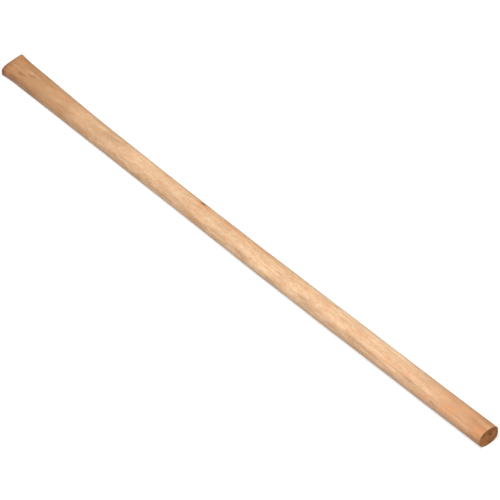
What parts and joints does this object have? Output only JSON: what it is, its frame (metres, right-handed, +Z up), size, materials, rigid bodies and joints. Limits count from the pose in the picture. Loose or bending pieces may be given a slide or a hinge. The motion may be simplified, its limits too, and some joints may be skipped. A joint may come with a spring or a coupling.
{
  "type": "splitting maul haft",
  "caption": "Bare wooden haft for a splitting maul: a long, slightly bowed handle of oval section, flared at the butt and fullest where the steel head seats.",
  "frame": {"origin": "bottom centre of the haft's box as it lies on its broad side", "axes": "+X along the haft towards the end that enters the head's eye, +Y the wide way of the oval section, +Z up, the thin way"},
  "size_m": [0.915, 0.0376, 0.0272],
  "materials": {
    "haft_wood": "sanded pale hardwood with a thin satin finish, darker bare end grain"
  },
  "bodies": {
    "root": {"haft": "haft_wood"}
  },
  "joints": []
}
